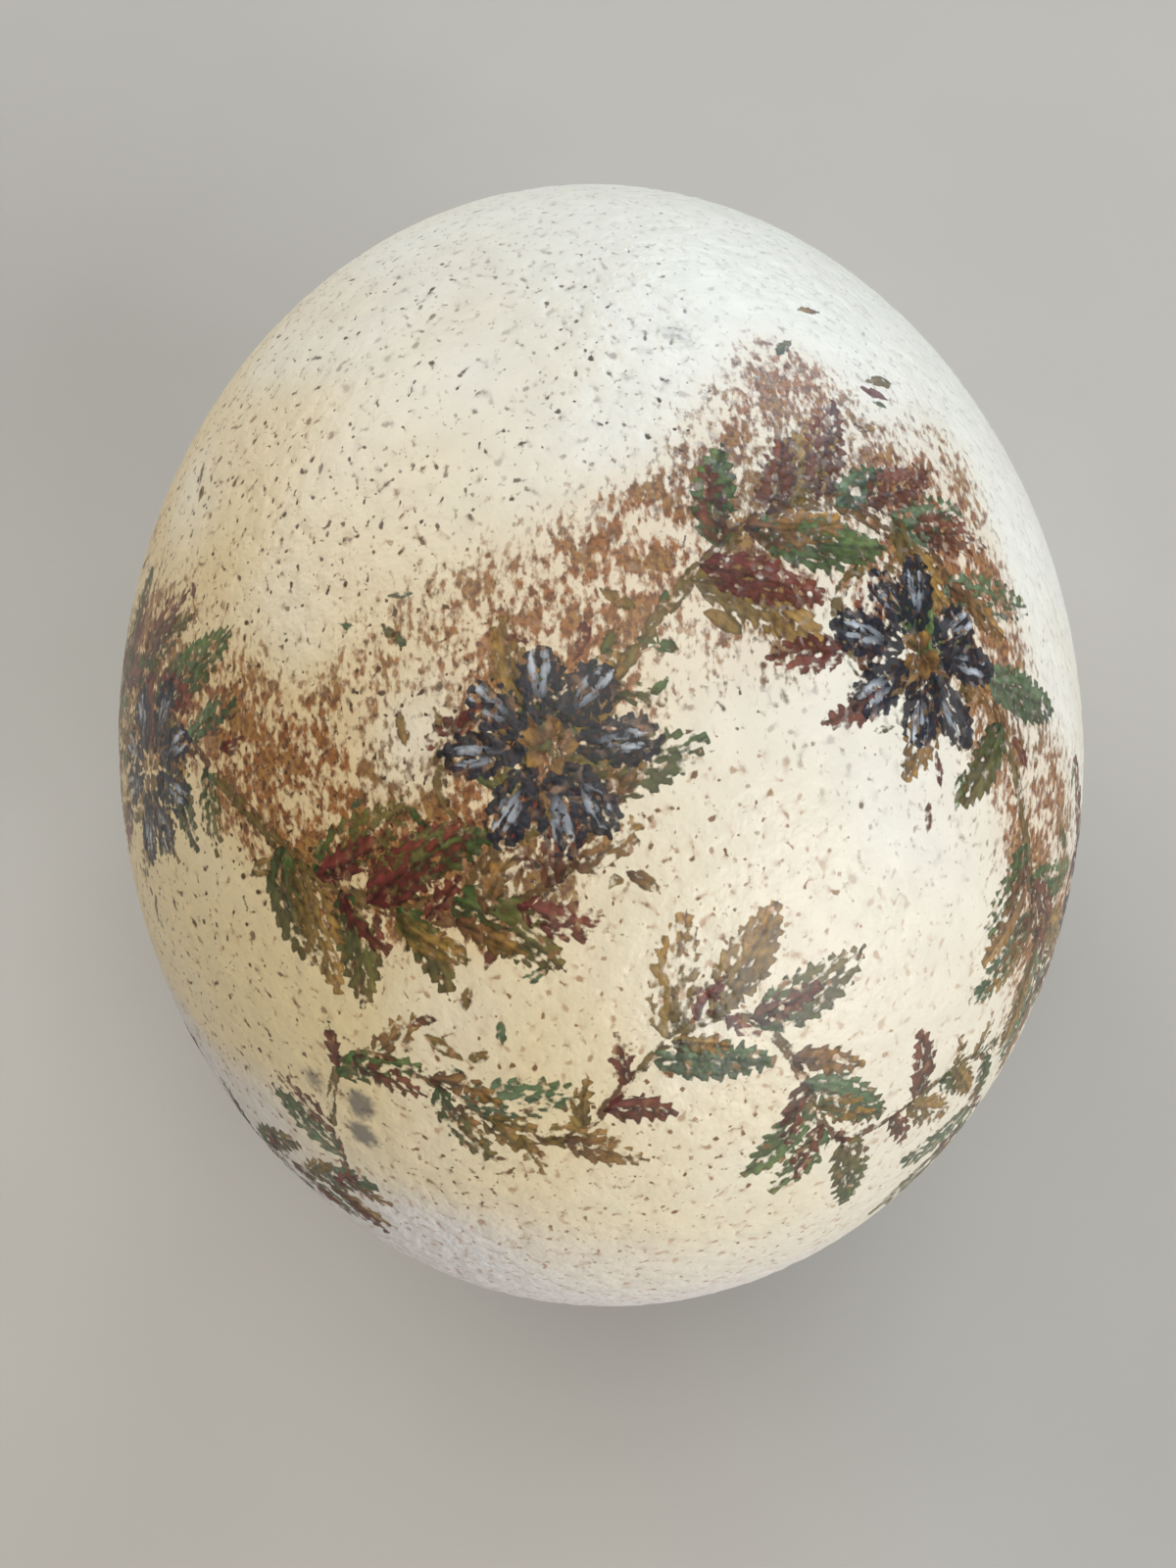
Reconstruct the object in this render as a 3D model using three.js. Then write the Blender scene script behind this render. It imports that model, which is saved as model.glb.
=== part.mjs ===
// An ostrich egg lying on its side: one closed shell, pitted all over, with a small flat spot to rest on.
// Millimetres, +Z up, +Y along the egg's long axis, origin on the resting surface under the egg's middle.
import * as THREE from "three";
import { ConvexHull } from "three/addons/math/ConvexHull.js";

// Driving dimensions
const LENGTH = 150; // end to end, along Y
const WIDTH = 125; // across the middle
const BLUNTNESS = 0.01; // how much fuller the -Y end is than a true ellipsoid, as a share of the width
const SPOT_DEPTH = 0.6; // height of the round underside that the flat resting spot takes away
const PIT_RADIUS = 0.7; // the larger pore pits
const PIT_DEPTH = 0.25;
const PIT_SHARE = 0.2; // share of the surface points that are pits

// Resolution
const SURFACE_POINTS = 2200;
const PIT_SIDES = 5;
const SPOT_SIDES = 16;
const SPOT_MARGIN = 0.5; // height above the spot that its outline has to itself

// Derived sizes
const HALF_LENGTH = LENGTH / 2;
const HALF_WIDTH = WIDTH / 2;
const MEAN_RADIUS = (2 * HALF_WIDTH + HALF_LENGTH) / 3;
const POINT_SPACING = Math.sqrt((4 * Math.PI) / SURFACE_POINTS); // as an angle seen from the egg's middle
const POINT_STRAY = 0.3; // share of the spacing that a point may stray by
const SPOT_Z = SPOT_DEPTH - HALF_WIDTH;
const GOLDEN_ANGLE = Math.PI * (3 - Math.sqrt(5));

const SHELL = new THREE.MeshStandardMaterial({
  name: "shell",
  color: 0xe9dfc2,
  roughness: 0.4,
  metalness: 0,
});

// A repeatable number from 0 to 1 for a whole number and a channel.
function scatter(index, channel) {
  const wave = Math.sin(index * 12.9898 + channel * 78.233) * 43758.5453;
  return wave - Math.floor(wave);
}

// The point of the smooth egg that lies towards a unit direction from its middle.
function onEgg(direction) {
  const radius = HALF_WIDTH * (1 - BLUNTNESS * direction.y);
  return new THREE.Vector3(
    radius * direction.x,
    HALF_LENGTH * direction.y,
    radius * direction.z,
  );
}

// The egg's outward normal there, taken from the plain ellipsoid.
function normalAt(direction) {
  return new THREE.Vector3(
    direction.x / HALF_WIDTH,
    direction.y / HALF_LENGTH,
    direction.z / HALF_WIDTH,
  ).normalize();
}

// A direction turned from `centre` by `angle`, towards the compass bearing `bearing`.
function turnedFrom(centre, angle, bearing) {
  const helper = Math.abs(centre.y) < 0.9 ? new THREE.Vector3(0, 1, 0) : new THREE.Vector3(1, 0, 0);
  const east = new THREE.Vector3().crossVectors(helper, centre).normalize();
  const north = new THREE.Vector3().crossVectors(centre, east);
  return centre
    .clone()
    .multiplyScalar(Math.cos(angle))
    .addScaledVector(east, Math.sin(angle) * Math.cos(bearing))
    .addScaledVector(north, Math.sin(angle) * Math.sin(bearing));
}

// Directions on a golden-angle spiral from end to end, each strayed a little from its place.
function surfaceDirections() {
  return Array.from({ length: SURFACE_POINTS }, (_, i) => {
    const y = 1 - (2 * i + 1) / SURFACE_POINTS;
    const ring = Math.sqrt(1 - y * y);
    const turn = i * GOLDEN_ANGLE;
    const even = new THREE.Vector3(ring * Math.sin(turn), y, ring * Math.cos(turn));
    const stray = POINT_STRAY * POINT_SPACING * scatter(i, 1);
    return turnedFrom(even, stray, 2 * Math.PI * scatter(i, 2));
  });
}

// The outline of the flat spot: where the round underside meets the plane that it rests on.
function spotOutline() {
  const down = SPOT_Z / HALF_WIDTH;
  const reach = Math.sqrt(1 - down * down);
  return Array.from({ length: SPOT_SIDES }, (_, i) => {
    const bearing = (2 * Math.PI * i) / SPOT_SIDES;
    return new THREE.Vector3(reach * Math.cos(bearing), reach * Math.sin(bearing), down);
  });
}

// The surface as a list of corners, each with its direction from the middle and its place on the egg.
function corners() {
  const made = [];
  for (const direction of spotOutline()) {
    const place = onEgg(direction).setZ(SPOT_Z);
    made.push({ direction, place });
  }
  const extremes = [[1, 0, 0], [-1, 0, 0], [0, 1, 0], [0, -1, 0], [0, 0, 1]];
  for (const axis of extremes) {
    const direction = new THREE.Vector3(...axis);
    made.push({ direction, place: onEgg(direction) });
  }
  const rimAngle = PIT_RADIUS / MEAN_RADIUS;
  const isExtreme = (direction) =>
    extremes.some((axis) => direction.angleTo(new THREE.Vector3(...axis)) < 2 * rimAngle);
  for (const [i, centre] of surfaceDirections().entries()) {
    const place = onEgg(centre);
    if (place.z < SPOT_Z + SPOT_MARGIN || isExtreme(centre)) continue;
    made.push({ direction: centre, place });
    if (scatter(i, 0) > PIT_SHARE) continue;
    place.addScaledVector(normalAt(centre), -PIT_DEPTH);
    for (let side = 0; side < PIT_SIDES; side++) {
      const bearing = 2 * Math.PI * (side / PIT_SIDES + scatter(i, 3));
      const direction = turnedFrom(centre, rimAngle, bearing);
      made.push({ direction, place: onEgg(direction) });
    }
  }
  return made;
}

// The corners joined up as they are nearest: the hull of their directions, carried over to the egg.
function eggGeometry() {
  const points = corners();
  const index = new Map(points.map(({ direction }, i) => [direction, i]));
  const hull = new ConvexHull().setFromPoints(points.map(({ direction }) => direction));
  const triangles = hull.faces.flatMap(({ edge }) =>
    [edge, edge.next, edge.next.next].map((side) => index.get(side.head().point)),
  );
  const geometry = new THREE.BufferGeometry().setFromPoints(points.map(({ place }) => place));
  geometry.setIndex(triangles);
  geometry.computeVertexNormals();
  return geometry;
}

const egg = new THREE.Mesh(eggGeometry(), SHELL);
egg.name = "egg";
egg.position.z = -SPOT_Z;

const part = new THREE.Group();
part.add(egg);

export default part;
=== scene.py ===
"""The looks of a painted ostrich egg: a shell full of pores, with a leafy scroll brushed round its waist.

Lengths are in millimetres and angles in radians until the mesh is made, and places are measured from the
egg's middle. A direction is a unit vector from there. A place on the egg is also given by two angles:
around, from the top towards +X, and lat, from the waist towards +Y.
"""
import math

import bpy
import numpy as np
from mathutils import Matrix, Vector, kdtree, noise
from mathutils.geometry import delaunay_2d_cdt


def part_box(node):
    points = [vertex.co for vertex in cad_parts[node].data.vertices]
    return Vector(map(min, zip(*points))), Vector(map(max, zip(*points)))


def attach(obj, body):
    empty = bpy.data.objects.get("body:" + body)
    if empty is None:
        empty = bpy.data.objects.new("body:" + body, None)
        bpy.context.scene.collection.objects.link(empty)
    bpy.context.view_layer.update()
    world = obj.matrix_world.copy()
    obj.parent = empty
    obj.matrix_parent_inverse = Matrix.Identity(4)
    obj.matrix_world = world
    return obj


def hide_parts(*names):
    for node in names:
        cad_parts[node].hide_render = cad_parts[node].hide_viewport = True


MM = 0.001  # metres in a millimetre
SEED = 11
GOLDEN_ANGLE = math.pi * (3 - math.sqrt(5))

# The shell
BLUNTNESS = 0.01  # how much fuller the -Y end is than a true ellipsoid
MEAN_RADIUS = 66.0  # of the egg, which turns lengths along the shell into angles
PIT_RADIUS = 0.7  # the larger pits, which the solid has too
PIT_DEPTH = 0.25
PIT_CLEANNESS = (0.6, 1.0)  # they hold less dirt than most pores
PORE_COUNT = 12500
PORE_RADIUS = (0.26, 0.64)  # most are small
PORE_DEPTH = (0.08, 0.2)
PORE_STRETCH = (1.0, 2.2)  # longest to shortest, across a pore
PORE_STRAY = 0.5  # standard deviation of a pore from its even place
PORE_GAP = 1.25  # pores keep this far apart
PORE_SIDES = 6
RIM_STRAY = 0.3  # how far a pore's rim strays from a true oval, as a share of its radius
RIM_DEPTH = 0.1  # how far a pore's rim sinks below the shell round it
PORE_TAIL = 0.45  # how far into the pore one point of its rim counts, so that its stain has a tail
BETWEEN_COUNT = 52000  # points between the pores, before those too near a pore are dropped
BETWEEN_GAP = 1.0
SWELLS = ((4.5, 0.07), (2.0, 0.08))  # the shell's slow ups and downs: length and depth
SPOT_SIDES = 64  # the flat spot that the egg rests on
SPOT_MARGIN = 0.5  # height above the spot that its outline has to itself
SPOT_FADE = 2.0  # height above the spot at which the ups and downs are full

# How the shell differs from place to place
PATCH_SIZE = 14.0
MOTTLE_SIZE = 3.0
DIRT_SIZE = 22.0
DIRT_LEVEL = 0.6
DIRTY_SIDE = (-0.85, -0.3, 0.3)  # where the pores are darkest
SIDES = {  # direction, cosines to where it starts and where it is full, and how patchy it is
    # yellowed varnish and painted warm shade: yellower and darker on the side away from the lamps
    "yellowed_and_shaded": ((-0.9, -0.2, 0.35), (-0.2, 0.9), 1.0),
    # painted highlight: the shell is whiter on the side towards the back lamp, where the cool light and the
    # sky's reflection fall
    "painted_highlight": ((0.45, 0.55, 0.6), (-0.1, 0.95), 1.0),
    # bare shell, whose lavender-white tint is partly a painted reflection of cool light along the lower
    # edge
    "bare": ((-0.35, -0.7, -0.6), (0.40, 0.68), 0.3),  # never varnished
}
SMUDGES = (  # dirt: around and lat in degrees, radius and strength
    (-42.6, -49.1, 2.8, 1.0),
    (-46.4, -51.9, 2.8, 1.0),
    (-48.4, -45.5, 3.4, 0.55),
    (9.0, 13.0, 5.0, 0.4),
    (17.0, 9.5, 4.0, 0.35),
)

# The stems of the painted scroll
WAVES = 4
STEM = (WAVES, -0.32, 0.27)  # waves all round, latitude and swing
GARLAND_WAVES = 7
GARLAND = (GARLAND_WAVES, -0.88, 0.10)  # round the blunt end
WAVE_POINTS = 60  # along one stretch of a stem
STEM_HALF_WIDTH = 0.9
STEM_TAPER = 0.06
BRANCH_ROOT = 4  # points along its stretch of the stem
BRANCH_LENGTH = 96.0
BRANCH_TURN = 9.5  # in all
BRANCH_CURL = 2.0  # above 1, so that most of the turn comes late
BRANCH_HALF_WIDTH = 0.75
BRANCH_TAPER = 0.15
GARLAND_HALF_WIDTH = 0.6

# Its leaves
STEM_BARE = 6  # points of a stem before its first leaf
BRANCH_BARE = 8
SPRIGS_BARE = 2
STEM_LEAVES = (3.4, 14)  # about how far it is from one leaf to the next, and a leaf's length
BRANCH_LEAVES = (3.2, 12)
GARLAND_LEAVES = (2.4, 12)
GARLAND_SPRIGS = (3.6, 8)
LEAF_ANGLE = (0.6, 1.1)  # to its stem
LEAF_SPREAD = (0.7, 1.25)  # shortest and longest, as shares of the stem's leaf length
LEAF_BEND = 0.8
LEAF_WIDTH = (0.15, 0.21)  # its half width, as a share of its length
LEAF_FORM = (0.75, 0.8)  # taper and lean
LEAF_DRY = (0.0, 0.7)
LEAF_TRIES = 4  # ever smaller, until there is room
LEAF_SHRINK = 0.82
LEAF_TURN = 0.3
LEAF_ROOM = 0.8  # how near leaves may come, as a share of their half widths together
ROOT_SHARE = 0.25  # of a stroke, from its start, which may touch others

# Its rosettes, with touches on their petals and in their hearts
PETALS = 8
PETAL_START = 2.0  # from the middle of the rosette
PETAL_LENGTH = (7.5, 9.5)
PETAL_HALF_WIDTH = (2.2, 2.8)
PETAL_FORM = (0.5, 1.3)
PETAL_DRY = (0.0, 0.5)
PETAL_STRAY = 0.15
PETAL_BEND = 0.4
TOUCH_START = 3  # points along its petal
TOUCH_LENGTH = 5.5
TOUCH_HALF_WIDTH = 0.5
TOUCH_FORM = (0.5, 1.0)
TOUCH_DRY = (0.3, 0.9)
TOUCH_ANGLE = 0.25
TOUCH_BEND = 0.3
HEARTS = 5
HEART_START = 0.7
HEART_LENGTH = 2.0
HEART_HALF_WIDTH = 1.1
HEART_FORM = (0.4, 1.0)

# Its small dabs among the leaves, and the russet ground behind it
DABS = 260
DAB_LENGTH = (2.5, 5.0)
DAB_STRAY = 0.18  # standard deviation of their latitudes from the stem's
WASH_LAT = -0.28
WASH_SWING = 0.24
WASH_STRAY = 0.4
WASH_WIDTH = (0.2, 0.26)  # towards the blunt end and away from it

# The brush
BRUSH_STEP = 0.8  # between the points of a stroke
BRUSH_MARGIN = 1.3  # a stroke is worked out this far beyond its edge
PAINT_LACK = 0.22  # what even a full brush lacks
DRY_LACK = 0.2  # what a dry one lacks besides at the start of a stroke, and twice that at its end
LAYERS = {"stems": 0.0, "leaves": 1.0, "sprigs": 1.0, "petals": 0.8, "touches": 0.0}  # how feathery
BARB_LENGTH = 1.7  # from one barb of a feathery stroke to the next
BARB_SWEEP = 0.9  # how far a barb runs forward for each length outward
BARB_DEPTH = 0.3

# The texture of the shell and the paint
GRAIN_SIZE = 0.9
CURL_SIZE = 0.8
RIPPLE_SIZE = 1.8
HATCH_SIZE = 0.75
STRAND_SIZE = 0.5
STREAK_SIZE = 1.0
RELIEF_DEPTH = 0.16
MAP_MARGIN = 0.01
MAP_SIZE = (0.97, 0.98)  # narrower than the margins leave, because faces at the seam reach past it

# Colours as the eye sees them, 0 to 255
SHELL_CREAM = (241, 233, 213)
# yellowed varnish, darkened as painted warm shade away from the lamps
SHELL_YELLOWED_AND_SHADED = (233, 212, 166)
# painted highlight, on the side towards the back lamp
SHELL_PAINTED_HIGHLIGHT = (243, 240, 230)
# bare shell, its lavender tint partly a painted reflection at the lower edge
SHELL_BARE_AND_REFLECTED = (232, 226, 222)
PORE_DARK = (60, 44, 26)
PORE_BROWN = (148, 106, 68)
STAIN_BROWN = (180, 134, 96)
STAIN_GREY = (174, 163, 156)
RUSSET = (158, 98, 48)
RUSSET_GLAZE = (222, 184, 128)
RUSSET_DARK = (92, 48, 28)
RUSSET_OLIVE = (128, 94, 46)
OLIVE = (106, 90, 44)
GREEN = (52, 80, 38)
LIGHT_GREEN = (88, 108, 58)
GREY_GREEN = (92, 112, 84)
MAROON = (92, 34, 34)
RED_BROWN = (114, 58, 42)
OCHRE = (160, 122, 62)
BROWN = (88, 54, 36)
BLUE_BLACK = (28, 34, 46)
SLATE = (66, 72, 84)
GREY_WHITE = (204, 212, 222)
SMUDGE = (92, 88, 88)
LEAF_TONES = ((GREEN, LIGHT_GREEN), (OLIVE, GREEN), (GREEN, OLIVE), (GREY_GREEN, GREEN), (OLIVE, OCHRE))
WARM_TONES = ((MAROON, RED_BROWN), (BROWN, RED_BROWN), (BROWN, OCHRE), (OLIVE, OCHRE))

# The lights, in metres and watts: place, size, power and colour
LIGHTS = {
    "back": ((1.7, 3.0, 1.45), 2.8, 62, (0.60, 0.80, 1.0)),
    "front": ((2.6, -2.9, 1.7), 3.2, 126, (0.98, 0.99, 1.0)),
    "top": ((0.1, 0.0, 4.0), 3.6, 67, (1.0, 0.96, 0.86)),
    "left": ((-2.7, 2.5, 2.1), 3.2, 69, (1.0, 0.95, 0.87)),
}
ROOM_LIGHT = (0.12, 0.12, 0.12)  # from all round
FLOOR_SIZE = 30  # metres
FLOOR_BLOTCH = 40
FLOOR_TONES = ((0.50, 0.48, 0.45), (0.54, 0.52, 0.49))
FLOOR_ROUGHNESS = 0.7

# The camera: its place, and the picture's lengths in pixels
CAMERA_ELEVATION = math.radians(65)
CAMERA_AZIMUTH = math.radians(-3.12)
CAMERA_DISTANCE = 0.2195  # metres
CAMERA_SENSOR = 36.0
CAMERA_CLIP = 0.01  # metres
PICTURE_HEIGHT = 1600
FOCAL_LENGTH = 1650
PICTURE_SHIFT = (-11.6, -65.0)


def linear(colour):
    """A colour as a shader takes it."""
    shares = np.array(colour) / 255
    return tuple(np.where(shares < 0.04045, shares / 12.92, ((shares + 0.055) / 1.055) ** 2.4))


def unit(vectors):
    return vectors / np.linalg.norm(vectors, axis=-1, keepdims=True)


def rise(values, low, high):
    """0 up to low, 1 from high on, and a smooth rise between."""
    share = ((values - low) / (high - low)).clip(0, 1)
    return share * share * (3 - 2 * share)


def blotches(places, size):
    """Smooth noise from 0 to 1, about 0.5, with blotches of this size."""
    return np.array([0.5 + 0.5 * noise.noise(Vector(place) / size) for place in places])


# The egg's form


class Egg:
    """The smooth egg that fills the CAD node's box."""

    def __init__(self, low, high):
        self.half_width = (high.x - low.x) / 2 / MM
        self.half_length = (high.y - low.y) / 2 / MM
        self.height = high.z / MM - self.half_width  # of its middle

    def place(self, direction):
        radius = self.half_width * (1 - BLUNTNESS * direction[:, 1])
        return direction * np.stack((radius, np.full(len(direction), self.half_length), radius), 1)

    def inward(self, place):
        """A direction, shorter than a unit where the place lies inside the egg."""
        y = place[:, 1] / self.half_length
        radius = self.half_width * (1 - BLUNTNESS * y)
        return np.stack((place[:, 0] / radius, y, place[:, 2] / radius), 1)

    def normal(self, direction):
        return unit(direction / (self.half_width, self.half_length, self.half_width))


def facing(around, lat):
    """The directions of places given by their two angles."""
    return np.stack((np.cos(lat) * np.sin(around), np.sin(lat), np.cos(lat) * np.cos(around)), -1)


def angles(direction):
    """The two angles of each direction."""
    return np.arctan2(direction[:, 0], direction[:, 2]), np.arcsin(direction[:, 1].clip(-1, 1))


def spiral(count):
    """Directions spread evenly from end to end."""
    index = np.arange(count)
    return facing(index * GOLDEN_ANGLE, np.arcsin(1 - (2 * index + 1) / count))


def turned(direction, distance, bearing):
    """Directions moved along the surface by a distance, towards a bearing."""
    helper = np.where(np.abs(direction[:, 1:2]) < 0.9, (0.0, 1.0, 0.0), (1.0, 0.0, 0.0))
    east = unit(np.cross(helper, direction))
    north = np.cross(direction, east)
    step = east * np.cos(bearing)[:, None] + north * np.sin(bearing)[:, None]
    return unit(direction + step * (distance / MEAN_RADIUS)[:, None])


def nearest(points):
    """A search tree of points."""
    tree = kdtree.KDTree(len(points))
    for i, point in enumerate(points):
        tree.insert(point, i)
    tree.balance()
    return tree


# The shell's points


def modelled_pits(egg, node):
    """Where the solid has its larger pits."""
    places = np.array([vertex.co for vertex in node.data.vertices]) / MM - (0, 0, egg.height)
    inward = egg.inward(np.unique(places.round(3), axis=0))
    reach = np.linalg.norm(inward, axis=1)
    return unit(inward[reach < 1 - PIT_DEPTH / 2 / egg.half_length])


def above_spot(egg, direction):
    return direction[egg.place(direction)[:, 2] > SPOT_MARGIN - egg.height]


def pore_centres(egg, pits, rng):
    """The larger pits, then the small pores between them, none nearer to another than PORE_GAP."""
    even = spiral(PORE_COUNT)
    strayed = unit(even + rng.normal(0, PORE_STRAY / MEAN_RADIUS, even.shape))
    directions = np.concatenate((pits, above_spot(egg, strayed)))
    places = egg.place(directions)
    tree = nearest(places)
    kept = []
    for i, place in enumerate(places):
        earlier = [j for _, j, _ in tree.find_range(place, PORE_GAP) if j < i]
        kept.append(not earlier)
    return directions[kept]


class Points:
    """The shell's points: their directions and depths, how far into a pore they are and how clean it is."""

    def __init__(self):
        self.parts = []

    def add(self, direction, depth=0.0, pit=0.0, clean=0.0):
        fields = [np.broadcast_to(value, len(direction)) for value in (depth, pit, clean)]
        self.parts.append((direction, *fields))

    def joined(self):
        return [np.concatenate(part) for part in zip(*self.parts)]


def spot_outline(egg):
    """The outline of the flat spot, in the plane that the egg rests on."""
    down = -egg.height / egg.half_width
    reach = math.sqrt(1 - down * down)
    bearing = np.arange(SPOT_SIDES) * 2 * math.pi / SPOT_SIDES
    return np.stack((reach * np.cos(bearing), reach * np.sin(bearing), np.full(SPOT_SIDES, down)), 1)


def add_pores(egg, points, pits, rng):
    """Adds the bottom of each pore and its rim, and gives back where the pores are."""
    centres = pore_centres(egg, pits, rng)
    count = len(centres)
    is_pit = np.arange(count) < len(pits)
    smallest, largest = PORE_RADIUS
    radius = np.where(is_pit, PIT_RADIUS, smallest + (largest - smallest) * rng.uniform(0, 1, count) ** 2)
    depth = np.where(is_pit, PIT_DEPTH, rng.uniform(*PORE_DEPTH, count))
    stretch = np.sqrt(np.where(is_pit, 1.0, rng.uniform(*PORE_STRETCH, count)))
    bearing = rng.uniform(0, 2 * math.pi, count)
    clean = np.where(is_pit, rng.uniform(*PIT_CLEANNESS, count), rng.uniform(0, 1, count))
    points.add(centres, depth, 1.0, clean)
    for side in range(PORE_SIDES):
        angle = 2 * math.pi * side / PORE_SIDES
        reach = radius * rng.uniform(1 - RIM_STRAY, 1 + RIM_STRAY, count)
        along = reach * math.cos(angle) * stretch
        across = reach * math.sin(angle) / stretch
        rim = turned(centres, np.hypot(along, across), bearing + np.arctan2(across, along))
        points.add(rim, RIM_DEPTH, PORE_TAIL if side == 0 else 0.0, clean)
    return egg.place(centres)


def shell_points(egg, node, rng):
    """Every point of the shell but the middle of its flat spot."""
    points = Points()
    points.add(spot_outline(egg))
    pores = nearest(add_pores(egg, points, modelled_pits(egg, node), rng))
    between = above_spot(egg, spiral(BETWEEN_COUNT))
    clear = [pores.find(place)[2] > BETWEEN_GAP for place in egg.place(between)]
    points.add(between[clear])
    return points.joined()


def store(mesh, name, values, kind="FLOAT", domain="POINT"):
    """Keeps values with the mesh's points or corners, for the material to read."""
    fields = {"FLOAT": "value", "FLOAT_VECTOR": "vector", "FLOAT_COLOR": "color"}
    attribute = mesh.attributes.new(name, kind, domain)
    attribute.data.foreach_set(fields[kind], np.asarray(values, np.float32).ravel())


def shell_mesh(egg, node, rng):
    """The shell, with how far into a pore each point is and how clean that pore is."""
    direction, depth, pit, clean = shell_points(egg, node, rng)
    smooth = egg.place(direction)
    swell = sum(deepest * blotches(smooth, length) for length, deepest in SWELLS)
    sunk = depth + swell * rise(smooth[:, 2] + egg.height, 0, SPOT_FADE)
    places = smooth - egg.normal(direction) * sunk[:, None]
    places[:SPOT_SIDES, 2] = -egg.height
    spread = direction[:, :2] / (1 + direction[:, 2:])  # laid flat, from the top out to the resting spot
    triangles = delaunay_2d_cdt([Vector(point) for point in spread], [], [], 0, 0.0, False)[2]
    hub = len(places)
    underside = [((i + 1) % SPOT_SIDES, i, hub) for i in range(SPOT_SIDES)]
    vertices = np.concatenate((places, [[0, 0, -egg.height]])) + (0, 0, egg.height)
    mesh = bpy.data.meshes.new("painted_egg")
    mesh.from_pydata((vertices * MM).tolist(), [], [*triangles, *underside])
    mesh.shade_smooth()
    store(mesh, "pit", np.append(pit, 0))
    store(mesh, "clean", np.append(clean, 0))
    return mesh


def mesh_arrays(egg, mesh):
    """The mesh's points, and the three points of each face."""
    places = np.empty(3 * len(mesh.vertices))
    mesh.vertices.foreach_get("co", places)
    corners = np.empty(len(mesh.loops), int)
    mesh.loops.foreach_get("vertex_index", corners)
    return places.reshape(-1, 3) / MM - (0, 0, egg.height), corners.reshape(-1, 3)


def smudges(egg):
    """The middle, radius and strength of each smudge."""
    return [(egg.place(facing(*np.radians([[around], [lat]]))), *form) for around, lat, *form in SMUDGES]


def smudged(egg, places):
    """How much dirt lies at each place: from 1 in the middle of a full smudge to 0 at its edge."""
    dirt = np.zeros(len(places))
    for middle, radius, strength in smudges(egg):
        away = np.linalg.norm(places - middle, axis=1) / radius
        dirt = np.maximum(dirt, strength * (1 - away))
    return dirt


def add_fields(egg, mesh):
    """Stores how the shell differs from place to place."""
    places, _ = mesh_arrays(egg, mesh)
    direction = unit(egg.inward(places))
    around, lat = angles(direction)
    patch = blotches(places, PATCH_SIZE)
    for name, (side, edge, patchiness) in SIDES.items():
        towards = direction @ unit(np.array(side))
        store(mesh, name, rise(towards + patchiness * (patch - 0.5), *edge))
    dirt = DIRT_LEVEL * (direction @ unit(np.array(DIRTY_SIDE)) + blotches(places, DIRT_SIZE))
    above = lat - WASH_LAT - WASH_SWING * np.sin(WAVES * around) + WASH_STRAY * (patch - 0.5)
    wash = above / np.where(above < 0, *WASH_WIDTH)
    store(mesh, "patch", patch)
    store(mesh, "mottle", blotches(places, MOTTLE_SIZE))
    store(mesh, "dirt", dirt.clip(0, 1))
    store(mesh, "wash", np.exp(-(wash**4)))
    store(mesh, "smudge", smudged(egg, places))


def add_map(egg, mesh):
    """A map of the shell unrolled from the underside, for textures."""
    places, corners = mesh_arrays(egg, mesh)
    around, lat = angles(unit(egg.inward(places)))
    turn = around[corners] / (2 * math.pi)
    at_seam = turn.max(1) - turn.min(1) > 0.5
    turn[at_seam] += turn[at_seam] < 0
    shares = np.stack((turn, lat[corners] / math.pi), -1) + 0.5
    layout = MAP_MARGIN + MAP_SIZE * shares
    mesh.uv_layers.new(name="OFBake").uv.foreach_set("vector", layout.astype(np.float32).ravel())


# The brush strokes


class Stroke:
    """One touch of the brush along a line of places, from its first colour to its second.

    It has half_width at its widest, which lies before its middle where lean is below 1. It is as pointed as
    taper says, and as broken as dry says, from 0 to 1.
    """

    def __init__(self, line, half_width, colours, taper, lean, dry):
        self.line = line
        self.half_width = half_width
        self.colours = [np.array(linear(colour)) for colour in colours]
        self.taper = taper
        self.lean = lean
        self.dry = dry

    def room(self, along, length):
        """Half the stroke's width at a distance along it. Beyond an end it is below 0."""
        share = (along / length).clip(0, 1) ** self.lean
        beyond = np.maximum(-along, along - length).clip(0)
        return self.half_width * (4 * share * (1 - share)) ** self.taper - beyond

    def colour(self, share):
        """The colour, and as a fourth value how much paint the brush lacks."""
        start, end = self.colours
        mixed = start + (end - start) * share[:, None]
        lack = PAINT_LACK + DRY_LACK * self.dry * (1 + share)
        return np.concatenate((mixed, lack[:, None]), 1)


class Walker:
    """Walks over the egg and leaves the lines that strokes follow."""

    def __init__(self, egg):
        self.egg = egg

    def path(self, around, lat, heading, length, bend=0.0, curl=1.0):
        """Angles and headings along a walk that turns by bend in all, late on where curl is above 1."""
        steps = max(3, round(length / BRUSH_STEP))
        made = []
        for i in range(steps + 1):
            turn = heading + bend * (i / steps) ** curl
            made.append((around, lat, turn))
            stretch = math.hypot(self.egg.half_width * math.sin(lat), self.egg.half_length * math.cos(lat))
            around += length / steps * math.cos(turn) / (self.egg.half_width * math.cos(lat))
            lat += length / steps * math.sin(turn) / stretch
        return made

    def wave(self, start, end, form):
        """A stretch of a stem that swings about a latitude, from one angle around to another."""
        waves, middle, swing = form
        around = np.linspace(start, end, WAVE_POINTS)
        lat = middle + swing * np.sin(waves * around)
        climb = np.gradient(lat) * self.egg.half_length
        heading = np.arctan2(climb, np.gradient(around) * self.egg.half_width * np.cos(lat))
        return list(zip(around, lat, heading))

    def line(self, path):
        around, lat, _ = np.array(path).T
        return self.egg.place(facing(around, lat))


def past_root(points):
    """The points of a stroke that need room."""
    return points[int(len(points) * ROOT_SHARE):]


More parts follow.
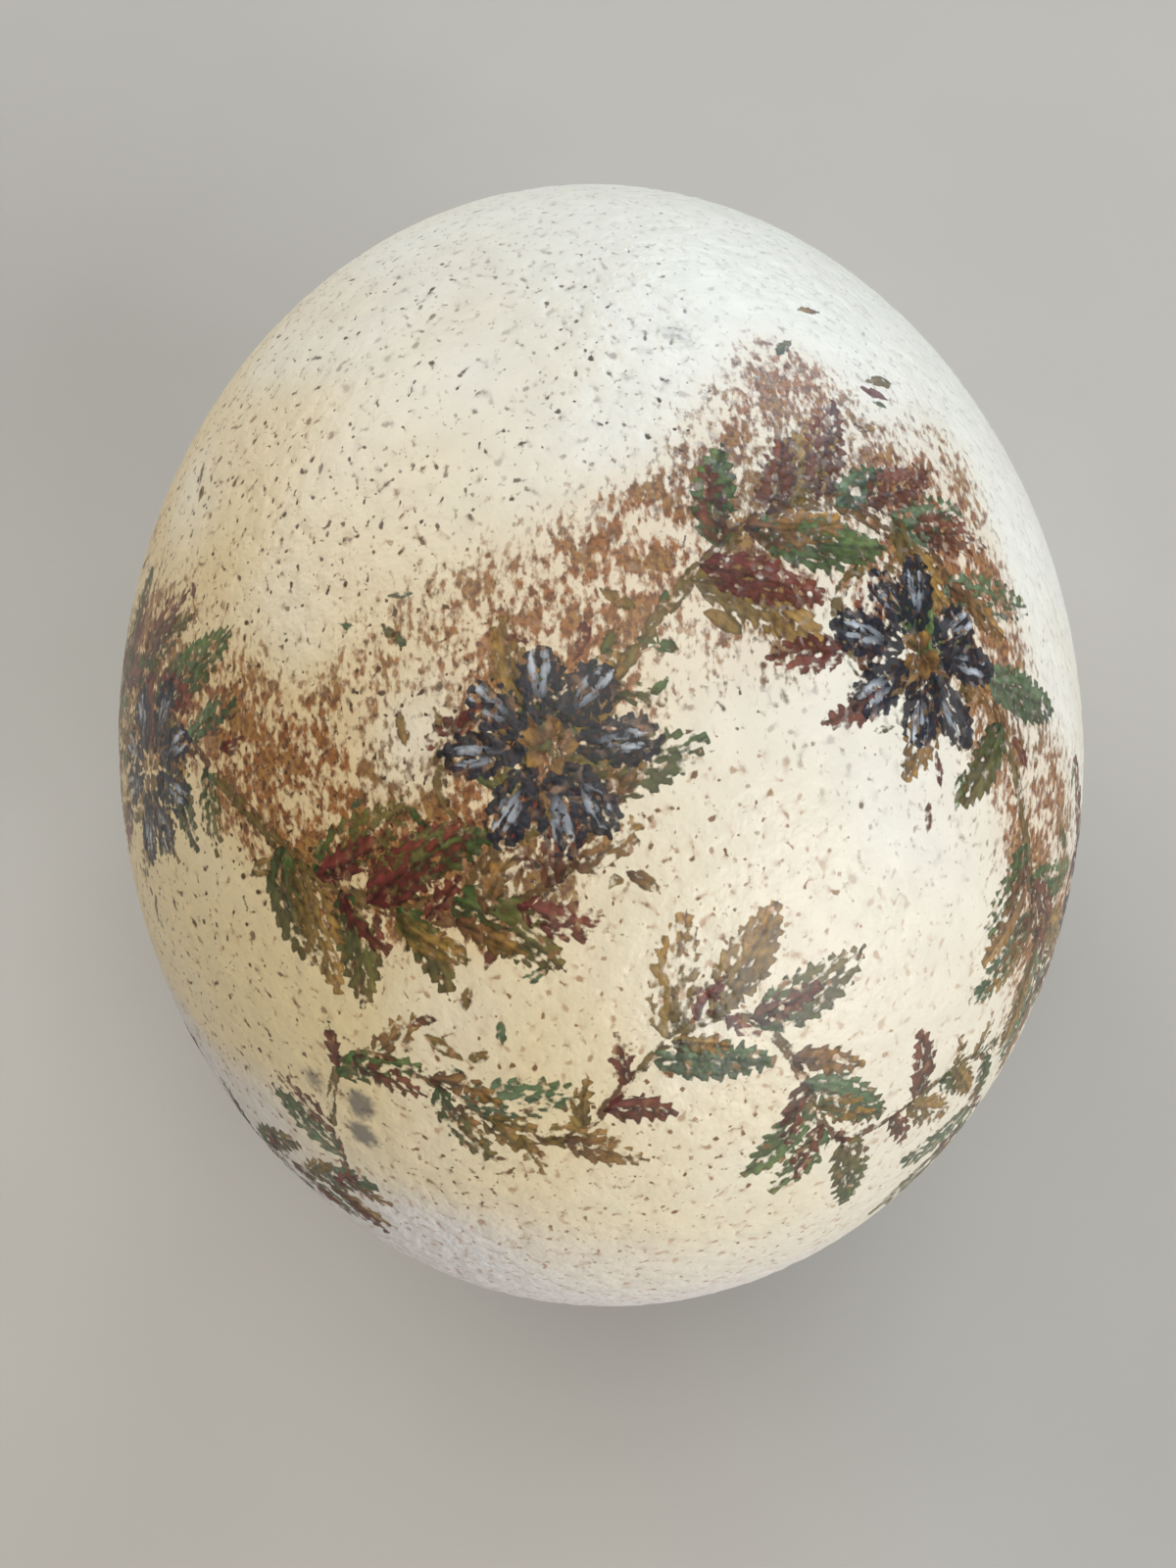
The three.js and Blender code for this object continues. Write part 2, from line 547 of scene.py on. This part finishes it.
class Scroll:
    """The painted scroll as lists of strokes, one for each layer."""

    def __init__(self, egg, rng):
        self.walker = Walker(egg)
        self.rng = rng
        self.layers = {layer: [] for layer in LAYERS}
        dirty_spots = [(middle, radius) for middle, radius, _ in smudges(egg)]
        self.taken = {layer: list(dirty_spots) for layer in LAYERS}

    def is_clear(self, layer, line, half_width):
        """Whether a stroke keeps clear of the smudges and of those that a layer has so far."""
        for other, other_width in self.taken[layer]:
            gap = np.linalg.norm(line[:, None] - other, axis=2).min()
            if gap < LEAF_ROOM * (half_width + other_width):
                return False
        return True

    def stroke(self, layer, path, half_width, colours, taper, lean=1.0, dry=0.5):
        line = self.walker.line(path)
        self.layers[layer].append(Stroke(line, half_width, colours, taper, lean, dry))
        self.taken[layer].append((past_root(line), half_width))

    def pick(self, tones):
        return tones[self.rng.integers(len(tones))]

    def either_way(self, most):
        """A turn to either side."""
        return self.rng.uniform(-most, most)

    def leaf(self, layer, spot, length, tones):
        """A leaf, drawn smaller and turned a little where there is no room for it."""
        around, lat, heading = spot
        for _ in range(LEAF_TRIES):
            path = self.walker.path(around, lat, heading, length, self.either_way(LEAF_BEND))
            half_width = length * self.rng.uniform(*LEAF_WIDTH)
            if self.is_clear(layer, self.walker.line(past_root(path)), half_width):
                colours = self.pick(tones)
                self.stroke(layer, path, half_width, colours, *LEAF_FORM, self.rng.uniform(*LEAF_DRY))
                return
            length *= LEAF_SHRINK
            heading += self.either_way(LEAF_TURN)

    def leaves_along(self, layer, path, spacing, length, tones):
        """Leaves on alternate sides of a stem."""
        stride = max(1, round(spacing / BRUSH_STEP))
        for count, (around, lat, heading) in enumerate(path[stride::stride]):
            side = 1 if count % 2 else -1
            spot = (around, lat, heading + side * self.rng.uniform(*LEAF_ANGLE))
            self.leaf(layer, spot, length * self.rng.uniform(*LEAF_SPREAD), tones)

    def petal(self, base):
        """A dark petal with two pale touches."""
        length = self.rng.uniform(*PETAL_LENGTH)
        petal = self.walker.path(*base, length, self.either_way(PETAL_BEND))
        half_width = self.rng.uniform(*PETAL_HALF_WIDTH)
        dry = self.rng.uniform(*PETAL_DRY)
        self.stroke("petals", petal, half_width, (BLUE_BLACK, BLUE_BLACK), *PETAL_FORM, dry)
        for side in (-1, 1):
            around, lat, heading = petal[TOUCH_START]
            turn = heading + side * TOUCH_ANGLE
            touch = self.walker.path(around, lat, turn, TOUCH_LENGTH, -side * TOUCH_BEND)
            dry = self.rng.uniform(*TOUCH_DRY)
            self.stroke("touches", touch, TOUCH_HALF_WIDTH, (SLATE, GREY_WHITE), *TOUCH_FORM, dry)

    def rosette(self, around, lat):
        """A dark flower with an ochre heart."""
        for index in range(PETALS):
            heading = 2 * math.pi * index / PETALS + self.either_way(PETAL_STRAY)
            self.petal(self.walker.path(around, lat, heading, PETAL_START)[-1])
        for index in range(HEARTS):
            base = self.walker.path(around, lat, 2 * math.pi * index / HEARTS, HEART_START)[-1]
            heart = self.walker.path(*base, HEART_LENGTH)
            self.stroke("touches", heart, HEART_HALF_WIDTH, (BROWN, OCHRE), *HEART_FORM, dry=0.0)

    def bay(self, index):
        """Half a wave of the main stem, with the branch that curls inside it."""
        side = 1 if index % 2 == 0 else -1
        stem = self.walker.wave(index * math.pi / WAVES, (index + 1) * math.pi / WAVES, STEM)
        self.stroke("stems", stem, STEM_HALF_WIDTH, (OLIVE, BROWN), STEM_TAPER)
        branch = self.walker.path(*stem[BRANCH_ROOT], BRANCH_LENGTH, -side * BRANCH_TURN, BRANCH_CURL)
        self.stroke("stems", branch, BRANCH_HALF_WIDTH, (BROWN, OLIVE), BRANCH_TAPER)
        around, lat, _ = branch[-1]
        self.rosette(around, lat)
        self.leaves_along("leaves", stem[STEM_BARE:], *STEM_LEAVES, LEAF_TONES)
        self.leaves_along("sprigs", branch[BRANCH_BARE:], *BRANCH_LEAVES, WARM_TONES)

    def garland(self, index):
        """A stretch of the thin stem round the blunt end, with small leaves."""
        turn = 2 * math.pi / GARLAND_WAVES
        stem = self.walker.wave(index * turn, (index + 1) * turn, GARLAND)
        self.stroke("stems", stem, GARLAND_HALF_WIDTH, (OLIVE, BROWN), STEM_TAPER)
        self.leaves_along("leaves", stem, *GARLAND_LEAVES, LEAF_TONES)
        self.leaves_along("sprigs", stem[SPRIGS_BARE:], *GARLAND_SPRIGS, WARM_TONES)

    def dab(self):
        """A small touch somewhere along the scroll."""
        around = self.rng.uniform(-math.pi, math.pi)
        waves, middle, swing = STEM
        lat = middle + swing * math.sin(waves * around) + self.rng.normal(0, DAB_STRAY)
        spot = (around, lat, self.rng.uniform(0, 2 * math.pi))
        self.leaf("stems", spot, self.rng.uniform(*DAB_LENGTH), LEAF_TONES + WARM_TONES)

    def paint(self):
        for index in range(2 * WAVES):
            self.bay(index)
        for index in range(GARLAND_WAVES):
            self.garland(index)
        for _ in range(DABS):
            self.dab()
        return self.layers


def measured(line, points):
    """How far along a line each point lies, how far to its left and how far away, and the line's length."""
    start, step = line[:-1], np.diff(line, axis=0)
    length = np.linalg.norm(step, axis=1)
    ahead = step / length[:, None]
    travelled = np.concatenate(([0], np.cumsum(length)))
    offset = points[:, None] - start[None]
    along = (offset * ahead).sum(2)
    foot = start[None] + np.clip(along, 0, length)[..., None] * ahead
    distance = np.linalg.norm(points[:, None] - foot, axis=2)
    best = distance.argmin(1)
    each = np.arange(len(points))
    low = np.where(np.arange(len(step)) == 0, -np.inf, 0)
    high = np.where(np.arange(len(step)) == len(step) - 1, np.inf, length)
    along = travelled[best] + np.clip(along, low, high)[each, best]
    left = np.cross(unit(start + step / 2), ahead)
    across = (offset[each, best] * left[best]).sum(1)
    return along, across, distance.min(1), travelled[-1]


def lay_paint(egg, mesh, layer, strokes):
    """Stores with each corner of each face where it lies on the stroke that reaches that face best."""
    places, corners = mesh_arrays(egg, mesh)
    centres = places[corners].mean(1)
    reach = np.full(len(corners), BRUSH_MARGIN)
    spots = np.zeros((len(corners), 3, 3))
    room = np.full((len(corners), 3), -BRUSH_MARGIN)
    colour = np.ones((len(corners), 3, 4))
    for index, stroke in enumerate(strokes):
        hub = stroke.line.mean(0)
        extent = np.linalg.norm(stroke.line - hub, axis=1).max() + stroke.half_width + BRUSH_MARGIN
        near = np.flatnonzero(((centres - hub) ** 2).sum(1) < extent**2)
        gap = measured(stroke.line, centres[near])[2] - stroke.half_width
        closer = gap < reach[near]
        taken = near[closer]
        reach[taken] = gap[closer]
        along, across, _, length = measured(stroke.line, places[corners[taken]].reshape(-1, 3))
        spots[taken] = np.stack((along, across, np.full(len(along), index)), 1).reshape(-1, 3, 3)
        room[taken] = stroke.room(along, length).reshape(-1, 3)
        colour[taken] = stroke.colour((along / length).clip(0, 1)).reshape(-1, 3, 4)
    store(mesh, f"{layer}_spot", spots, "FLOAT_VECTOR", "CORNER")
    store(mesh, f"{layer}_room", room, "FLOAT", "CORNER")
    store(mesh, f"{layer}_colour", colour, "FLOAT_COLOR", "CORNER")


# Materials


class Shade:
    """A value in a material's nodes, which adds and multiplies as plain numbers do."""

    def __init__(self, tree, socket):
        self.tree = tree
        self.socket = socket

    def of(self, operation, *others):
        node = self.tree.nodes.new("ShaderNodeMath")
        node.operation = operation
        for slot, value in zip(node.inputs, (self, *others)):
            feed(self.tree, slot, value)
        return Shade(self.tree, node.outputs[0])

    def __add__(self, other):
        return self.of("ADD", other)

    def __sub__(self, other):
        return self.of("SUBTRACT", other)

    def __mul__(self, other):
        return self.of("MULTIPLY", other)

    def rise(self, low, high):
        """0 up to low, 1 from high on, and a smooth rise between. Falls where high is the lower."""
        node = self.tree.nodes.new("ShaderNodeMapRange")
        node.interpolation_type = "SMOOTHSTEP"
        feed(self.tree, node.inputs["Value"], self)
        feed(self.tree, node.inputs["From Min"], low)
        feed(self.tree, node.inputs["From Max"], high)
        return Shade(self.tree, node.outputs[0])


def feed(tree, slot, value):
    """Links a shade to an input, or sets a plain number or colour there."""
    if isinstance(value, Shade):
        tree.links.new(value.socket, slot)
    elif isinstance(value, tuple) and slot.type == "RGBA":
        slot.default_value = (*value, 1.0)
    else:
        slot.default_value = value


class Finish:
    """A material that is put together node by node, with its places in millimetres."""

    def __init__(self, name):
        self.material = bpy.data.materials.new(name)
        self.material.use_nodes = True
        self.tree = self.material.node_tree
        self.shader = self.tree.nodes["Principled BSDF"]
        place = Shade(self.tree, self.node("ShaderNodeTexCoord").outputs["Object"])
        self.spot = self.scaled(place, 1 / MM)

    def node(self, kind):
        return self.tree.nodes.new(kind)

    def scaled(self, vector, scale):
        """A vector or a colour, made larger or lighter."""
        node = self.node("ShaderNodeVectorMath")
        node.operation = "SCALE"
        feed(self.tree, node.inputs[0], vector)
        feed(self.tree, node.inputs["Scale"], scale)
        return Shade(self.tree, node.outputs["Vector"])

    def split(self, vector):
        node = self.node("ShaderNodeSeparateXYZ")
        feed(self.tree, node.inputs[0], vector)
        return [Shade(self.tree, output) for output in node.outputs]

    def join(self, x, y, z):
        node = self.node("ShaderNodeCombineXYZ")
        for slot, value in zip(node.inputs, (x, y, z)):
            feed(self.tree, slot, value)
        return Shade(self.tree, node.outputs[0])

    def attribute(self, name, output="Fac"):
        node = self.node("ShaderNodeAttribute")
        node.attribute_name = name
        return Shade(self.tree, node.outputs[output])

    def noise(self, size, detail, at=None):
        """Smooth noise from 0 to 1, about 0.5, with blotches of this size."""
        node = self.node("ShaderNodeTexNoise")
        feed(self.tree, node.inputs["Vector"], at or self.spot)
        node.inputs["Scale"].default_value = 1 / size
        node.inputs["Detail"].default_value = detail
        return Shade(self.tree, node.outputs["Fac"])

    def mix(self, share, low, high):
        """The colour low, with this share of the colour high."""
        node = self.node("ShaderNodeMix")
        node.data_type = "RGBA"
        feed(self.tree, node.inputs["Factor"], share)
        low_slot, high_slot = [slot for slot in node.inputs if slot.type == "RGBA"]
        feed(self.tree, low_slot, low)
        feed(self.tree, high_slot, high)
        return Shade(self.tree, next(output for output in node.outputs if output.type == "RGBA"))

    def set(self, name, value):
        feed(self.tree, self.shader.inputs[name], value)


class EggFinish(Finish):
    """Cream shell, yellowed and in painted warm shade, whiter in a painted highlight, and bare by turns,
    with dark pores and brushed paint.
    """

    def __init__(self):
        super().__init__("painted_shell")
        self.grain = self.noise(GRAIN_SIZE, 2)
        self.speck = self.grain - 0.5
        self.curls = self.noise(CURL_SIZE, 3)
        self.ripple = self.noise(RIPPLE_SIZE, 2)
        self.patch = self.attribute("patch")
        self.bare = self.attribute("bare")
        # where the painted highlight whitens the shell
        self.painted_highlight = self.attribute("painted_highlight")
        self.dirt = self.attribute("dirt")
        self.mottle = self.attribute("mottle")
        self.pit = self.attribute("pit")
        self.clean = self.attribute("clean")
        colour = self.washed(self.shell())
        for layer, feather in LAYERS.items():
            colour = self.painted(colour, layer, feather)
        colour = self.pored(colour)
        self.set("Base Color", self.smudged(colour))
        self.set("Roughness", self.bare * 0.25 + self.patch * 0.12 + 0.30)
        self.set("Normal", self.relief())

    def shell(self):
        # yellowed varnish and painted warm shade on the side away from the lamps
        yellowed_and_shaded_shell = self.mix(self.attribute("yellowed_and_shaded"), linear(SHELL_CREAM), linear(SHELL_YELLOWED_AND_SHADED))
        # a painted highlight whitens the side towards the back lamp
        highlit = self.mix(self.painted_highlight, yellowed_and_shaded_shell, linear(SHELL_PAINTED_HIGHLIGHT))
        # the bare underside, its lavender tint partly a painted reflection
        bared_and_reflected = self.mix(self.bare, highlit, linear(SHELL_BARE_AND_REFLECTED))
        return self.scaled(bared_and_reflected, self.mottle * 0.12 + 0.93)

    def washed(self, under):
        """A broken russet ground behind the scroll, brushed along the egg, with darker curls."""
        wash = self.attribute("wash")
        x, y, z = self.split(self.spot)
        hatch = self.noise(HATCH_SIZE, 3, at=self.join(x, y * 0.5, z))
        strands = self.noise(STRAND_SIZE, 2, at=self.join(x, y * 0.6, z)).rise(0.44, 0.62)
        clumps = wash * ((self.mottle - 0.5) * 0.6 + 0.31)
        cover = (hatch + clumps + strands * 0.06).rise(0.66, 0.88)
        ground = self.mix(self.patch.rise(0.45, 0.7), linear(RUSSET), linear(RUSSET_OLIVE))
        warmed = self.mix(self.mottle.rise(0.5, 0.75) * 0.7, ground, linear(OCHRE))
        darker = (strands * 0.6 + self.curls.rise(0.5, 0.62) * 0.6).of("MINIMUM", 0.9)
        tone = self.mix(darker, warmed, linear(RUSSET_DARK))
        glazed = self.mix(wash * 0.3, under, linear(RUSSET_GLAZE))
        return self.mix(cover * (wash * 0.25 + 0.7), glazed, tone)

    def painted(self, under, layer, feather):
        """One layer of brush strokes, ragged at the edge and dry towards the tip, that skip some pores.

        A feathery stroke has barbs that sweep forward from its dark middle line, and one side is lighter.
        """
        along, across, which = self.split(self.attribute(f"{layer}_spot", "Vector"))
        colour = self.attribute(f"{layer}_colour", "Color")
        lack = self.attribute(f"{layer}_colour", "Alpha")
        side = across.of("ABSOLUTE")
        barbs = ((along - side * BARB_SWEEP + self.speck) * (2 * math.pi / BARB_LENGTH)).of("SINE")
        inside = self.attribute(f"{layer}_room") - side + barbs * (BARB_DEPTH * feather)
        edge = (inside + self.speck * 0.9).rise(-0.1, 0.14)
        streaks = self.noise(STREAK_SIZE, 1, at=self.join(along * 0.45, across * 1.3, which * 7.3))
        skipped = self.pit * self.clean * 0.3
        wet = (streaks + self.speck * 0.7 + barbs * (0.05 * feather) - lack - skipped).rise(-0.06, 0.14)
        earthy = self.mix(self.curls.rise(0.5, 0.7) * 0.5, colour, linear(BROWN))
        body = (streaks * 2.4 - 0.35) * (inside.rise(0.0, 0.5) * 0.35 + 0.7)
        lighter = across.rise(-0.3, 0.3) * 0.4
        midrib = side.rise(0.35, 0.1) * 0.4
        veined = (barbs * 0.15 + lighter - midrib - 0.25) * feather + 1.0
        return self.mix(edge * wet * 0.95, under, self.scaled(earthy, body * veined))

    def pored(self, under):
        """Pores: a soft stain in each, grey in the painted highlight, and in many a dark mark or ring."""
        soft = self.pit * (self.speck * 1.5 + 1)
        deep = self.pit * (self.speck * 4 + 1)
        # stains are grey in the painted highlight
        highlit_side = self.painted_highlight.rise(0.2, 0.7)
        stain = self.mix(highlit_side, linear(STAIN_BROWN), linear(STAIN_GREY))
        stained = self.mix(soft.rise(0.05, 0.7) * (self.dirt * 0.4 + 0.35), under, stain)
        filled = (self.clean.rise(0.98, 0.8) + deep.rise(1.2, 0.6)).of("MINIMUM", 1.0)
        dirtied = (self.dirt * 1.4 - self.clean).rise(-0.1, 0.7)
        flecks = self.curls.rise(0.655, 0.72) * self.dirt
        mark = (deep.rise(0.28, 0.68) * filled * dirtied).of("MAXIMUM", flecks)
        colour = self.mix(self.dirt.rise(0.4, 0.9) + highlit_side * 0.8, linear(PORE_BROWN), linear(PORE_DARK))
        return self.mix(mark * (self.bare * -0.6 + 0.9), stained, colour)

    def smudged(self, under):
        """Grey smudges of dirt."""
        cover = (self.attribute("smudge") * 1.3 + (self.curls - 0.5) * 0.8).rise(0.2, 0.8)
        return self.mix(cover * 0.8, under, linear(SMUDGE))

    def relief(self):
        node = self.node("ShaderNodeBump")
        node.inputs["Distance"].default_value = RELIEF_DEPTH * MM
        feed(self.tree, node.inputs["Height"], self.ripple * (self.bare * 1.2 + 1) + self.grain * 0.4)
        return Shade(self.tree, node.outputs[0])


def floor_material():
    finish = Finish("pale_floor")
    finish.set("Base Color", finish.mix(finish.noise(FLOOR_BLOTCH, 2), *FLOOR_TONES))
    finish.set("Roughness", FLOOR_ROUGHNESS)
    return finish.material


# The scene


def make_egg(egg, node):
    rng = np.random.default_rng(SEED)
    mesh = shell_mesh(egg, node, rng)
    add_fields(egg, mesh)
    add_map(egg, mesh)
    for layer, strokes in Scroll(egg, rng).paint().items():
        lay_paint(egg, mesh, layer, strokes)
    mesh.materials.append(EggFinish().material)
    piece = bpy.data.objects.new("painted_egg", mesh)
    bpy.context.scene.collection.objects.link(piece)
    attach(piece, "root")
    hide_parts("egg")


def make_floor():
    bpy.ops.mesh.primitive_plane_add(size=FLOOR_SIZE)
    floor = bpy.context.object
    floor.name = "floor"
    floor.data.materials.append(floor_material())


def aim(thing, place, target):
    thing.location = place
    thing.rotation_euler = (target - place).to_track_quat("-Z", "Y").to_euler()


def light_scene(target):
    for name, (place, size, power, colour) in LIGHTS.items():
        data = bpy.data.lights.new(name, "AREA")
        data.size = size
        data.energy = power
        data.color = colour
        light = bpy.data.objects.new(name, data)
        bpy.context.scene.collection.objects.link(light)
        aim(light, Vector(place), target)
    world = bpy.data.worlds.new("dim")
    world.color = ROOM_LIGHT
    bpy.context.scene.world = world
    bpy.context.scene.view_settings.view_transform = "Standard"


def add_camera(target):
    """Looks down on the egg from its blunt end."""
    back = Vector((math.sin(CAMERA_AZIMUTH), -math.cos(CAMERA_AZIMUTH), math.tan(CAMERA_ELEVATION)))
    data = bpy.data.cameras.new("camera")
    data.sensor_width = CAMERA_SENSOR
    data.lens = CAMERA_SENSOR * FOCAL_LENGTH / PICTURE_HEIGHT
    data.shift_x, data.shift_y = [shift / PICTURE_HEIGHT for shift in PICTURE_SHIFT]
    data.clip_start = CAMERA_CLIP
    camera = bpy.data.objects.new("camera", data)
    bpy.context.scene.collection.objects.link(camera)
    aim(camera, target + back.normalized() * CAMERA_DISTANCE, target)
    bpy.context.scene.camera = camera


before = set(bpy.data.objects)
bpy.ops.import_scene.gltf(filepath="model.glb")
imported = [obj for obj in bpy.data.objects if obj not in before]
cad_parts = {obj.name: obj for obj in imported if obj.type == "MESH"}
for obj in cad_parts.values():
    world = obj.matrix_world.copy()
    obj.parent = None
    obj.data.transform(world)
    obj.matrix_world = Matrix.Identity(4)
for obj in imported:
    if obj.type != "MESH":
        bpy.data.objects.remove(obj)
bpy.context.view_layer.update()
egg = Egg(*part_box("egg"))
middle = Vector((0, 0, egg.height * MM))
make_egg(egg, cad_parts["egg"])
make_floor()
light_scene(middle)
add_camera(middle)
